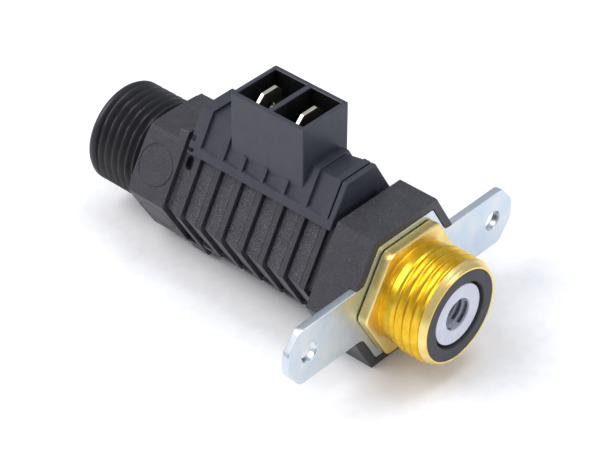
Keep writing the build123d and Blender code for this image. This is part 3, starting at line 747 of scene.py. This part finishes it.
# %% Rib lines
cover_low, cover_high = span("connector_cover")
COVER_DISTANCE = HEX_ACROSS / 2 + 1.3
COVER_RECESS = 0.7
SHALLOW_RECESS = 0.2
BAND_TOP = cover_low[2] + 1.5
SHORT_TOP = BAND_TOP + 2.5
SHORT_MIDDLE = 14.2
END_SOFTNESS = 0.2
END_INSET = 0.15
ROOF_TOP = cover_low[2] + 7.9
BOX_START, BOX_END = -36.8, -19.2
RIB = 1.45
END_RIB = 2.8
LAST_RIB = 1.1
LAST_GAP = 0.35
SHORT_RIB = 0.9
RIB_TO_BOX = 0.7
full_ribs = [(cover_low[0], cover_low[0] + END_RIB),
             (BOX_START - RIB_TO_BOX - RIB, BOX_START - RIB_TO_BOX),
             (BOX_END + RIB_TO_BOX, BOX_END + RIB_TO_BOX + RIB),
             (cover_high[0] - LAST_RIB - LAST_GAP - RIB, cover_high[0] - LAST_RIB - LAST_GAP),
             (cover_high[0] - LAST_RIB, cover_high[0])]
short_ribs = [(edge - SHORT_RIB, edge) for edge in fin_edges[1:5]]


def rib_line(ribs, stops):
    """Depth after and before each stop: none on a rib, and in a bay it climbs like a saw tooth."""
    low, high = np.array(sorted(ribs)).T
    middle = (stops[:-1] + stops[1:]) / 2
    bay_start = high[np.searchsorted(high, middle) - 1]
    bay_end = low[np.clip(np.searchsorted(low, middle), 0, len(low) - 1)]
    on_rib = ((middle > low[:, None]) & (middle < high[:, None])).any(axis=0)
    way = (np.column_stack([stops[:-1], stops[1:]]) - bay_start[:, None]) / (bay_end - bay_start)[:, None]
    return np.where(on_rib[:, None], 0.0, COVER_RECESS + (SHALLOW_RECESS - COVER_RECESS) * way).ravel()


def roof_line():
    """Rows (station, depth of the upper part, depth beside the short ribs) with softened corners."""
    stops = np.unique(np.round(np.array(full_ribs + short_ribs).ravel(), 4))
    line = np.column_stack([np.repeat(stops, 2)[1:-1], rib_line(full_ribs, stops),
                            rib_line(full_ribs + short_ribs, stops)])
    line[[0, -1], 0] += (END_INSET, -END_INSET)
    start, end = (cover_low[0], END_SOFTNESS, END_SOFTNESS), (cover_high[0], END_SOFTNESS, END_SOFTNESS)
    return round_corners(np.vstack([start, line, end]), 0.12, closed=False)


def roof_sections(line):
    """Rows of the roof: up one slope by fixed heights, over the flat top and down the other slope."""
    x, full, short = line.T[:, :, None]
    half_length = (cover_high[0] - cover_low[0]) / 2
    at_end = np.abs(x - cover_low[0] - half_length) > half_length - 0.14
    edge = np.where(at_end, np.minimum(np.minimum(full, short), END_SOFTNESS), 0)
    band_z = np.array([cover_low[2], cover_low[2] + 0.15, BAND_TOP - SOFT_EDGE])[None, :] + 0 * x
    short_z = np.array([BAND_TOP, SHORT_MIDDLE, SHORT_TOP - SOFT_EDGE])[None, :] + 0 * x
    high_z = SHORT_TOP + (ROOF_TOP - full - SHORT_TOP) * np.linspace(0, 1, 5)[None, :]
    z = np.hstack([band_z, short_z, high_z])
    y = np.hstack([slope_y(COVER_DISTANCE - edge, band_z), slope_y(COVER_DISTANCE - short, short_z),
                   slope_y(COVER_DISTANCE - full, high_z)])
    across = np.linspace(1, -1, 7)[None, 1:-1]
    top_y, top_z = y[:, -1:] * across, z[:, -1:] + 0 * across
    base_y, base_z = -y[:, :1] * across, cover_low[2] + 0 * across + 0 * x
    rows_y = np.hstack([y, top_y, -y[:, ::-1], base_y])
    rows_z = np.hstack([z, top_z, z[:, ::-1], base_z])
    return np.stack([x + 0 * rows_y, rows_y, rows_z], -1)


cover = solid("connector_housing", roof_sections(roof_line()), [cover_pbt])
print("roof faces:", len(cover.data.polygons))

# %% Terminal box
BOX_HALF = 6.02
BOX_WALL = 1.0
BOX_FLOOR = 18.2
DIVIDER = (-28.425, -27.175)


def box_sections():
    """A rounded rectangle carried from inside the roof up to the softened rim."""
    outline = round_corners([(BOX_START, -BOX_HALF), (BOX_END, -BOX_HALF), (BOX_END, BOX_HALF),
                             (BOX_START, BOX_HALF)], 0.35, steps=4)
    middle = np.array([(BOX_START + BOX_END) / 2, 0])
    rim = cover_high[2]
    height, inset = np.array([(BAND_TOP + 0.03, 0), (rim - 0.14, 0), (rim - 0.04, 0.05), (rim, 0.14)]).T
    half_size = np.array([(BOX_END - BOX_START) / 2, BOX_HALF])
    shrink = 1 - inset[:, None] / half_size
    rows = middle + (outline - middle)[None] * shrink[:, None]
    z = height[:, None] + 0 * rows[:, :, 0]
    return np.concatenate([rows, z[:, :, None]], -1)


combine(cover, solid("terminal_box", box_sections(), [cover_pbt]), "UNION")
# The chamber walls take the near-black PBT, painted shade in the recesses.
for start, end in ((BOX_START + BOX_WALL, DIVIDER[0]), (DIVIDER[1], BOX_END - BOX_WALL)):
    half_width = BOX_HALF - BOX_WALL
    chamber = block((start, -half_width, BOX_FLOOR), (end, half_width, cover_high[2]), 0.12, [painted_shade_pbt])
    combine(cover, chamber, "DIFFERENCE")
print("cover faces with its box:", len(cover.data.polygons))

# %% Room under the roof
COVER_WALL = 1.2
ROOM_TOP = BOX_FLOOR - COVER_WALL


def room_sections():
    """The room under the roof: its side walls lean in with the slopes."""
    start, end = cover_low[0] + COVER_WALL, cover_high[0] - COVER_WALL
    heights = np.array([cover_low[2] - 1, ROOM_TOP])
    half = slope_y(COVER_DISTANCE - COVER_RECESS - COVER_WALL, heights)
    rows = [[(start, -w, z), (end, -w, z), (end, w, z), (start, w, z)] for w, z in zip(half, heights)]
    return np.array(rows)


combine(cover, solid("cutter", room_sections(), []), "DIFFERENCE")
lead_room = block((BOX_START + BOX_WALL, -LEAD_GAP_HALF, cover_low[2] - 1),
                  (BOX_END - BOX_WALL, LEAD_GAP_HALF, ROOM_TOP))
combine(cover, lead_room, "DIFFERENCE")
print("cover faces with its room:", len(cover.data.polygons))

# %% Snap tongues at the outlet end
SLOT_NEAR = 4.6
SLOT_FAR = 9.5
# The slot walls take the near-black PBT, painted shade in the slots.
for side in (-1, 1):
    near, far = sorted((side * SLOT_NEAR, side * SLOT_FAR))
    for z, height, reach in ((13.95, 1.0, 1.15), (12.0, 0.65, 1.45)):
        low_corner = (cover_low[0] - 1, near, z - height / 2)
        high_corner = (cover_low[0] + reach, far, z + height / 2)
        combine(cover, block(low_corner, high_corner, finishes=[painted_shade_pbt]), "DIFFERENCE")
present(cover, "body", "black_pa", "connector_cover")

# %% [markdown]
# ## Inlet collar
#
# A plain hexagonal collar closes the brass end. Its front face has a pocket that holds the bracket, and
# the bracket's ears leave through a slot in each side. Each column of the surface pairs a point of the
# outer hexagon with a point of the pocket, and the columns within a slot simply end earlier.

# %% Collar surface
collar_low, collar_high = span("inlet_collar")
bracket_low, bracket_high = span("bracket_plate")
COLLAR_ACROSS = collar_high[2] - collar_low[2]
POCKET_ACROSS = bracket_high[2] - bracket_low[2] + 0.2
SLOT_HALF = 6.2
FLOOR_X = bracket_low[0] - 0.05
SHANK_BORE = 8.55
SEAL_BORE = 7.0
GATE_RADIUS = 0.8
GATE_GROOVE = 0.07


def collar_columns():
    """Outer point, pocket point and slot flag of each column: half the outline, then its mirror."""
    slot_z = np.linspace(0, SLOT_HALF, 5)
    wall_t = np.linspace(0, 1, 9)
    outer, inner = COLLAR_ACROSS / 2, POCKET_ACROSS / 2
    outer_z = np.hstack([slot_z, SLOT_HALF + (outer - SLOT_HALF) * wall_t])
    inner_z = np.hstack([slot_z, SLOT_HALF + (inner - SLOT_HALF) * wall_t])
    slot = np.hstack([np.ones(5), np.zeros(9)])
    corner = [np.column_stack([slope_y(outer, outer_z), outer_z]),
              np.column_stack([slope_y(inner, inner_z), inner_z])]
    flat = np.linspace(1, 0, 7)[1:]
    quarter = [np.vstack([part, np.column_stack([part[-1, 0] * flat, np.full(6, part[-1, 1])])])
               for part in corner]
    slot = np.hstack([slot, np.zeros(6)])
    half = [np.vstack([part, part[-2::-1] * (-1, 1)]) for part in quarter]
    slot = np.hstack([slot, slot[-2::-1]])
    whole = [np.vstack([part, part[-2:0:-1] * (1, -1)]) for part in half]
    return whole[0], whole[1], np.hstack([slot, slot[-2:0:-1]]) > 0.5


def collar_sections():
    """Closed rows: outer faces, front rim, pocket, and the stepped bore back to the rear face."""
    outer, pocket, slot = collar_columns()
    angle = np.arctan2(outer[:, 1], outer[:, 0])
    front = np.where(slot, FLOOR_X, 0.0)
    rear = collar_low[0]

    def row(x, points, inset=0.0):
        scale = 1 - inset / (COLLAR_ACROSS / 2)
        return np.column_stack([x + 0 * points[:, 0], points * scale])

    rows = [row(rear, outer, 0.22), row(rear + 0.07, outer, 0.07), row(rear + 0.22, outer),
            row(front - 0.22, outer), row(front - 0.06, outer, 0.06), row(front, outer, 0.22),
            row(front, pocket, -0.12), row(np.minimum(front, front - 0.1 * (1 - slot)), pocket),
            row(FLOOR_X, pocket)]
    shank_x, seal_x = rear + 2.95, rear + 0.95
    bore = [(FLOOR_X, SHANK_BORE), (shank_x, SHANK_BORE), (shank_x, SEAL_BORE), (seal_x, SEAL_BORE),
            (seal_x, TUBE_BORE), (rear, TUBE_BORE)]
    return np.concatenate([np.array(rows), turned(bore, angle)])


collar = solid("inlet_collar_moulding", collar_sections(), [black_nylon], ring=True)
gate_centre = (collar_low[0] / 2 - 0.1, -0.08, COLLAR_ACROSS / 2)
gate_mark = groove_ring(gate_centre, (0, 0, 1), GATE_RADIUS, GATE_GROOVE)
combine(collar, gate_mark, "DIFFERENCE")
present(collar, "body", "black_pa", "inlet_collar")

# %% [markdown]
# ## Bracket
#
# The bracket is stamped from 1.6 mm steel sheet and then zinc plated, which rounds its edges a little
# and makes them flash. Its outline is a hexagon with two ears that have cut tips, and it is drawn once
# for a quarter and mirrored. Three turned cutters with flared ends make the holes.

# %% Bracket surface
EAR_HALF = 6.1
EAR_TIP_HALF = 2.0
EAR_TIP_LENGTH = 3.2
EAR_HOLE_Y = 25.3
EAR_HOLE_RADIUS = 2.0
SHANK_HOLE_RADIUS = 8.6


def bracket_outline():
    """Outline in Y and Z, with soft roots, soft ear corners and soft hexagon corners."""
    reach, half = bracket_high[1], bracket_high[2]
    root = (half - EAR_HALF / 2) / math.cos(math.pi / 6)
    right = np.array([(reach, EAR_TIP_HALF), (reach - EAR_TIP_LENGTH, EAR_HALF), (root, EAR_HALF),
                      (half * math.tan(math.pi / 6), half)])
    upper = np.vstack([right, right[::-1] * (-1, 1)])
    outline = np.vstack([upper, upper[::-1] * (1, -1)])
    softness = np.tile([0.9, 0.9, 1.2, 0.35, 0.35, 1.2, 0.9, 0.9], 2)
    return round_corners(outline, softness, steps=5)


def plate_sections(outline, stations):
    """Rows of a flat plate: the outline at each (station, inset), moved in along its own normals."""
    step = np.roll(outline, -1, 0) - np.roll(outline, 1, 0)
    normal = np.column_stack([step[:, 1], -step[:, 0]])
    normal /= np.linalg.norm(normal, axis=1, keepdims=True)
    return np.array([np.column_stack([np.full(len(outline), x), outline - normal * inset])
                     for x, inset in stations])


def hole_cutter(y, radius, start, end, flare=0.12):
    """A round cutter along X whose ends open out, so that the hole has a rolled edge."""
    wide, middle, near = radius + flare, radius + flare * 0.3, flare * 0.4
    profile = [(start - 1, wide), (start, wide), (start + near, middle), (start + flare, radius),
               (end - flare, radius), (end - near, middle), (end, wide), (end + 1, wide)]
    return solid("cutter", turned(profile, full_turn(64)) + np.array([0, y, 0]), [])


plate_stations = [(bracket_low[0], 0.2), (bracket_low[0] + 0.06, 0.06), (bracket_low[0] + 0.2, 0),
                  (bracket_high[0] - 0.2, 0), (bracket_high[0] - 0.06, 0.06), (bracket_high[0], 0.2)]
bracket = solid("bracket_stamping", plate_sections(bracket_outline(), plate_stations), [zinc_plate])
for y, radius in ((-EAR_HOLE_Y, EAR_HOLE_RADIUS), (EAR_HOLE_Y, EAR_HOLE_RADIUS), (0, SHANK_HOLE_RADIUS)):
    combine(bracket, hole_cutter(y, radius, bracket_low[0], bracket_high[0]), "DIFFERENCE")
present(bracket, "body", "zinc_steel", "bracket_plate")

# %% [markdown]
# ## Brass inlet fitting
#
# The fitting is turned from hexagon bar. Its flange keeps the bar's flats, with the corners turned off,
# and the rest is lathe work: shank with a seal groove, a plain neck, a shoulder where the die stopped,
# the thread, a long chamfer, and a pocket for the gasket. The chamfer gets the flange's paler brass as a
# painted highlight. As on the outlet, one closed tour of the section makes the whole solid.

# %% Brass fitting surface
fitting_low, fitting_high = span("inlet_fitting")
gasket_low, gasket_high = span("end_gasket")
FITTING_ACROSS = fitting_high[2] - fitting_low[2]
FLANGE = 2.2
NECK_END = 3.5
NECK_RADIUS = 9.65
SHOULDER_END = 4.9
SHOULDER_RADIUS = 10.1
BRASS_THREAD_DEPTH = 0.78
FLANGE_GAP = 0.22
THREAD_CHAMFER = 1.75
CHAMFER_SLOPE = 0.56
BORE_RADIUS = 6.1
GASKET_RADIUS = gasket_high[1]
GASKET_DEPTH = 2.2
SHANK_RADIUS = 8.5
GROOVE_HALF = 1
GROOVE_DEPTH = 1.5
BRASS_CREST_SOFTNESS = 0.065
BRASS_THREAD_STEP = 0.04
THREAD_START_LENGTH = 0.9
fitting_end = fitting_high[0]
fitting_half = FITTING_ACROSS / 2


def fitting_flange(angle):
    """Rows of the flange: bar flats, trimmed to a circle that is smaller towards both faces."""
    profile = round_corners([(0, SHANK_RADIUS + 1), (FLANGE_GAP, fitting_half - 0.8),
                             (FLANGE_GAP, fitting_half), (FLANGE - 0.25, fitting_half),
                             (FLANGE, fitting_half - 0.3), (FLANGE, fitting_half - 1.2)],
                            0.03, closed=False)
    x, radius = profile[:, :1], profile[:, 1:]
    corner_circle = fitting_high[1] - 0.05 - (fitting_half - radius) * 1.2
    return polar(x, hexagon_radius(2 * radius, angle, corner_circle), angle)


def fitting_thread(angle):
    """Rows of the neck, the shoulder, the thread and its chamfer."""
    neck = round_corners([(FLANGE, fitting_half - 1.2), (FLANGE, NECK_RADIUS), (NECK_END, NECK_RADIUS),
                          (NECK_END + 0.25, SHOULDER_RADIUS)], 0.2, closed=False)[1:]
    x = np.append(np.arange(NECK_END + 0.3, fitting_end, BRASS_THREAD_STEP), fitting_end)[:, None]
    full = thread_radius(x, angle, fitting_end, BRASS_THREAD_DEPTH, BRASS_CREST_SOFTNESS)
    cut_in = np.clip((x - SHOULDER_END) / THREAD_START_LENGTH, 0, 1)
    thread = SHOULDER_RADIUS + (full - SHOULDER_RADIUS) * cut_in
    chamfer = THREAD_RADIUS - CHAMFER_SLOPE * np.maximum(0, x - fitting_end + THREAD_CHAMFER)
    return np.concatenate([turned(neck, angle), polar(x, np.minimum(thread, chamfer), angle)])


def fitting_inside(angle):
    """Rows of the gasket pocket, the bore and the shank with its seal groove."""
    rear, pocket_x = fitting_low[0], fitting_end - GASKET_DEPTH
    groove = (rear + bracket_low[0]) / 2
    groove_radius = SHANK_RADIUS - GROOVE_DEPTH
    profile = [(fitting_end, GASKET_RADIUS + 0.4), (fitting_end, GASKET_RADIUS), (pocket_x, GASKET_RADIUS),
               (pocket_x, BORE_RADIUS), (rear, BORE_RADIUS), (rear, SHANK_RADIUS),
               (groove - GROOVE_HALF, SHANK_RADIUS), (groove - GROOVE_HALF, groove_radius),
               (groove + GROOVE_HALF, groove_radius), (groove + GROOVE_HALF, SHANK_RADIUS),
               (0, SHANK_RADIUS), (0, SHANK_RADIUS + 1)]
    return turned(round_corners(profile, 0.12, closed=False), angle)


fitting_angle = full_turn(192)[None, :]
flange_rows = fitting_flange(fitting_angle)
sections = np.concatenate([flange_rows, fitting_thread(fitting_angle), fitting_inside(fitting_angle)])
in_flange = np.arange(len(sections)) < len(flange_rows)
# Rows of the end chamfer take the paler brass as a painted highlight.
in_chamfer = sections[:, 0, 0] > fitting_end - THREAD_CHAMFER
drawn_and_highlight_rows = (in_flange | in_chamfer).astype(int)
fitting = solid("inlet_thread_fitting", sections, [turned_brass, drawn_brass_and_painted_highlight], ring=True,
                finish_of_row=drawn_and_highlight_rows)
present(fitting, "body", "brass", "inlet_fitting", crease=42)

# %% [markdown]
# ## Gasket and strainer
#
# The gasket is a flat ring with soft edges that sits flush in its pocket. The strainer is a white cup:
# a thin flange with a round mouth, a skirt that grips the bore, and a basket of rings held by three
# bars. Each ring and bar is a small closed solid, which is how the gaps between them stay open.

# %% Gasket
GASKET_BORE = 6.7
gasket_profile = round_corners([(gasket_low[0], GASKET_BORE), (gasket_high[0], GASKET_BORE),
                                (gasket_high[0], GASKET_RADIUS), (gasket_low[0], GASKET_RADIUS)],
                               0.3, steps=4)
gasket = solid("flat_gasket", turned(gasket_profile, full_turn(144)), [epdm_rubber], ring=True)
present(gasket, "body", "rubber", "end_gasket")

# %% Strainer
strainer_low, strainer_high = span("inlet_strainer")
MOUTH_RADIUS = 3.2
BASKET_RADIUS = 4.1
SLOT_PITCH = 1.3
SLOT_WIDTH = 0.85
RING_COUNT = 5
BAR_COUNT = 3
BAR_WIDTH = 2.1
BAR_TURN = 33
STRAINER_WALL = 0.7
FLANGE_WALL = 0.6
SKIRT_LENGTH = 3.6
basket_start = strainer_high[0] - FLANGE_WALL
basket_end = strainer_low[0]


def strainer_shell():
    """Flange, skirt and the collar from which the basket hangs: one turned profile."""
    front, outer = strainer_high[:2]
    inner, skirt_end = outer - STRAINER_WALL, basket_start - SKIRT_LENGTH
    return round_corners([(front, MOUTH_RADIUS), (front, outer), (skirt_end, outer), (skirt_end, inner),
                          (basket_start, inner), (basket_start, BASKET_RADIUS),
                          (basket_start - 0.02, MOUTH_RADIUS)], 0.2)


def basket_bar(middle, start, end):
    """One bar: a short arc of the basket's wall, carried along the axis."""
    reach = BAR_WIDTH / 2 / MOUTH_RADIUS
    arc = middle + np.linspace(-reach, reach, 9)
    wall = np.concatenate([np.column_stack([np.full(9, MOUTH_RADIUS + 0.02), arc]),
                           np.column_stack([np.full(9, BASKET_RADIUS - 0.02), arc[::-1]])])
    return np.array([polar(x, wall[:, 0], wall[:, 1]) for x in (start, end)])


strainer = solid("slotted_strainer", turned(strainer_shell(), full_turn(120)), [white_acetal], ring=True)
ring_tops = basket_start - SLOT_WIDTH - SLOT_PITCH * np.arange(RING_COUNT)
ring_bottoms = np.append(ring_tops[:-1] - SLOT_PITCH + SLOT_WIDTH, basket_end + 0.5)
for top, bottom in zip(ring_tops, ring_bottoms):
    wall = round_corners([(top, MOUTH_RADIUS), (top, BASKET_RADIUS), (bottom, BASKET_RADIUS),
                          (bottom, MOUTH_RADIUS)], 0.1)
    combine(strainer, solid("ring", turned(wall, full_turn(96)), [white_acetal], ring=True), "UNION")
floor_profile = [(basket_end + 1.0, 0.0), (basket_end + 1.0, BASKET_RADIUS),
                 (basket_end, BASKET_RADIUS - 0.2), (basket_end, 0.0)]
combine(strainer, solid("floor", turned(floor_profile, full_turn(96)), [white_acetal]), "UNION")
for index in range(BAR_COUNT):
    middle = math.radians(BAR_TURN + 360 / BAR_COUNT * index)
    bar = solid("bar", basket_bar(middle, basket_end + 0.6, basket_start + 0.3), [white_acetal])
    combine(strainer, bar, "UNION")
present(strainer, "body", "white_pom", "inlet_strainer")

# %% [markdown]
# ## Terminal tabs
#
# Two 6.3 mm tabs stand in the box. They are stamped brass sheet, 0.8 mm thick and tinned, with cut
# corners that guide the receptacle on and a small hole that it snaps into.

# %% Tab surface
TAB_CUT = 1.4
TAB_HALF = 3.15
TAB_HOLE_RADIUS = 0.9
TAB_HOLE_DROP = 3.4
SHOULDER_HALF = 3.8
SHOULDER_HEIGHT = 1.2
LEG = (2.2, 3.9)


def tab_outline(low, high):
    """Outline in Y and Z: blade with cut corners, shoulders under the floor, and one leg."""
    bottom, top, shoulder = low[2], high[2], ROOM_TOP - SHOULDER_HEIGHT
    inner, outer = LEG
    points = [(-TAB_HALF, ROOM_TOP), (-SHOULDER_HALF, ROOM_TOP), (-SHOULDER_HALF, shoulder),
              (inner, shoulder), (inner, bottom), (outer, bottom), (outer, shoulder), (outer, ROOM_TOP),
              (TAB_HALF, ROOM_TOP), (TAB_HALF, top - TAB_CUT), (TAB_HALF - TAB_CUT, top),
              (TAB_CUT - TAB_HALF, top), (-TAB_HALF, top - TAB_CUT)]
    return round_corners(points, 0.12)


for side in ("outlet", "inlet"):
    node = f"terminal_tab_{side}_side"
    low, high = span(node)
    stations = [(low[0], 0.1), (low[0] + 0.1, 0), (high[0] - 0.1, 0), (high[0], 0.1)]
    tab = solid(f"tinned_tab_{side}_side", plate_sections(tab_outline(low, high), stations), [tin_plate])
    cutter = hole_cutter(0, TAB_HOLE_RADIUS, low[0], high[0], 0.08)
    cutter.data.transform(Matrix.Translation((0, 0, (high[2] - TAB_HOLE_DROP) * MM)))
    combine(tab, cutter, "DIFFERENCE")
    present(tab, "body", "tinned_brass", node)

# %% [markdown]
# ## Return spring
#
# The spring is stainless wire wound round the axis. A small circle is carried along a helix, and its
# plane follows the wire. It sits between the plunger and the fixed core, so it shortens with the stroke.

# %% Spring surface
spring_low, spring_high = span("return_spring")
WIRE_RADIUS = 0.25
SPRING_TURNS = 7


def spring_sections():
    """Rows of the wire: circles square to a helix, one after another."""
    radius = spring_high[1] - WIRE_RADIUS
    start, end = spring_low[0] + WIRE_RADIUS, spring_high[0] - WIRE_RADIUS
    turn = np.linspace(0, 2 * np.pi * SPRING_TURNS, SPRING_TURNS * 36 + 1)[:, None]
    x = start + (end - start) * turn / turn[-1]
    climb = (end - start) / turn[-1, 0]
    outward = np.hstack([0 * turn, np.cos(turn), np.sin(turn)])
    forward = np.hstack([climb + 0 * turn, -radius * np.sin(turn), radius * np.cos(turn)])
    forward /= np.linalg.norm(forward, axis=1, keepdims=True)
    across = np.cross(forward, outward)
    centre = np.hstack([x, radius * np.cos(turn), radius * np.sin(turn)])
    around = full_turn(12)[None, :, None]
    circle = outward[:, None] * np.cos(around) + across[:, None] * np.sin(around)
    return centre[:, None] + WIRE_RADIUS * circle


spring = solid("coiled_spring", spring_sections(), [stainless])
present(spring, "body", "stainless", "return_spring")
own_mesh(spring)

# %% [markdown]
# ## Pieces that keep their CAD shape
#
# Coil, yoke, tube, core, plunger and seals are simple turned or folded pieces, and their CAD meshes are
# already right. They only need a finish. They can't be seen while the valve is whole, but they are
# there when it is taken apart.

# %% Finishes for the inner pieces
inner_finishes = {
    stainless: ("guide_tube", "fixed_core", "plunger"),
    copper: ("winding", "coil_leads", "shading_ring"),
    zinc_plate: ("yoke_frame",),
    bobbin_pbt: ("bobbin",),
    coil_tape: ("winding_tape",),
    epdm_rubber: ("outlet_o_ring", "inlet_o_ring", "fitting_o_ring", "plunger_seal"),
}
for finish, names in inner_finishes.items():
    for name in names:
        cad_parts[name].data.materials.clear()
        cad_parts[name].data.materials.append(finish)
        print(name, "is", finish.name)
